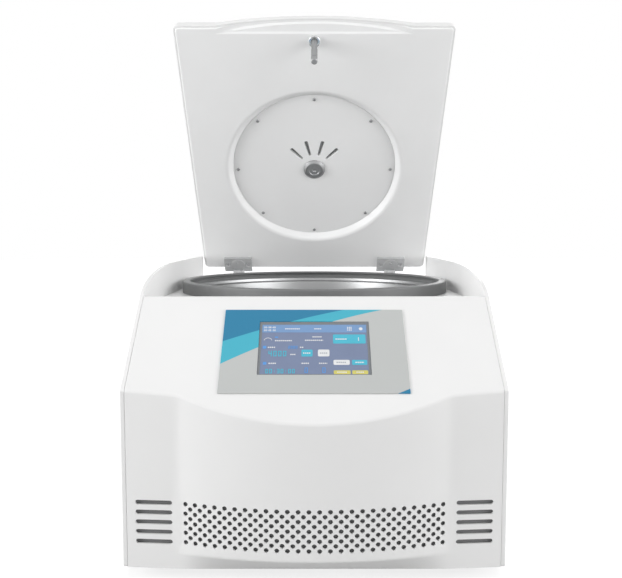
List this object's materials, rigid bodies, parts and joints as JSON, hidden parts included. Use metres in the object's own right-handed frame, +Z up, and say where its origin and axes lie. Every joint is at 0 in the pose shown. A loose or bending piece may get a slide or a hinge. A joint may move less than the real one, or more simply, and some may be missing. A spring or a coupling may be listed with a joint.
{
  "type": "bench centrifuge",
  "caption": "High-speed bench centrifuge with a raised lid, round steel chamber with a fixed-angle rotor, sloping control panel with display and a bowed perforated front.",
  "frame": {"origin": "on the table, under the middle of the housing's width and depth", "axes": "+Z up, -Y towards the front with the control panel, +X to the right of a person who stands in front"},
  "size_m": [0.4, 0.56, 0.6515],
  "materials": {
    "white_paint": "satin powder coat",
    "lid_white": "satin",
    "lid_plastic": "fine satin",
    "grey_rubber": "matte",
    "black_rubber": "matte",
    "black_plastic": "fine grain",
    "dark_metal": "satin",
    "steel": "brushed",
    "chrome": "polished",
    "raw_steel": "plain plate",
    "cast_metal": "cast and painted",
    "label_film": "satin film with plain colour bands",
    "screen_glass": "glossy",
    "board": "solder mask",
    "aluminium": "plain"
  },
  "bodies": {
    "housing": {"front_panel": "white_paint", "side_panel_left": "white_paint", "side_panel_right": "white_paint", "rear_panel": "white_paint", "top_deck": "white_paint", "chamber_seal": "grey_rubber", "foot_front_left": "black_rubber", "foot_front_right": "black_rubber", "foot_rear_left": "black_rubber", "foot_rear_right": "black_rubber", "motor_mount_front_left": "black_rubber", "motor_mount_front_right": "black_rubber", "motor_mount_rear_left": "black_rubber", "motor_mount_rear_right": "black_rubber", "spindle_boot": "black_rubber", "fan_frame": "black_plastic", "power_inlet": "black_plastic", "switch_bezel": "black_plastic", "fuse_holder": "black_plastic", "lock_housing": "black_plastic", "hinge_base_left": "dark_metal", "hinge_base_right": "dark_metal", "lock_solenoid": "dark_metal", "chamber_bowl": "steel", "hinge_pin_left": "steel", "hinge_pin_right": "steel", "base_plate": "raw_steel", "guard_ring": "raw_steel", "motor_plate": "raw_steel", "motor_housing": "cast_metal", "control_label": "label_film", "display_module": "screen_glass", "control_board": "board", "drive_inverter": "aluminium", "power_supply": "aluminium"},
    "lid": {"lid_shell": "lid_white", "lid_inner_panel": "lid_plastic", "lid_armour_plate": "raw_steel", "lid_liner_disc": "lid_plastic", "liner_screw_1": "dark_metal", "liner_screw_2": "dark_metal", "liner_screw_3": "dark_metal", "liner_screw_4": "dark_metal", "liner_screw_5": "dark_metal", "liner_screw_6": "dark_metal", "liner_screw_7": "dark_metal", "liner_screw_8": "dark_metal", "lid_boss": "steel", "lid_striker": "chrome", "striker_flange": "chrome", "hinge_leaf_left": "dark_metal", "hinge_leaf_right": "dark_metal"},
    "rotor": {"drive_spindle": "steel", "rotor": "aluminium"},
    "nut": {"rotor_nut": "chrome"},
    "fan": {"fan_impeller": "black_plastic"},
    "rocker": {"switch_rocker": "black_plastic"},
    "bolt": {"latch_bolt": "steel"}
  },
  "joints": [
    {"name": "lid_hinge", "type": "hinge", "parent": "housing", "child": "lid", "pos_m": [0, 0.264, 0.2919], "axis": [-1, 0, 0], "range_deg": [-52, 18]},
    {"name": "rotor_spin", "type": "hinge", "parent": "housing", "child": "rotor", "pos_m": [0, 0.053, 0.2], "axis": [0, 0, 1], "continuous": true},
    {"name": "nut_turn", "type": "hinge", "parent": "rotor", "child": "nut", "pos_m": [0, 0.053, 0.265], "axis": [0, 0, 1], "continuous": true},
    {"name": "fan_spin", "type": "hinge", "parent": "housing", "child": "fan", "pos_m": [-0.088, 0.2607, 0.124], "axis": [0, 1, 0], "continuous": true},
    {"name": "power_switch", "type": "hinge", "parent": "housing", "child": "rocker", "pos_m": [0.11, 0.274, 0.1], "axis": [1, 0, 0], "range_deg": [0, 14]},
    {"name": "latch_slide", "type": "slide", "parent": "housing", "child": "bolt", "axis": [-1, 0, 0], "range_m": [0, 0.0125]}
  ]
}
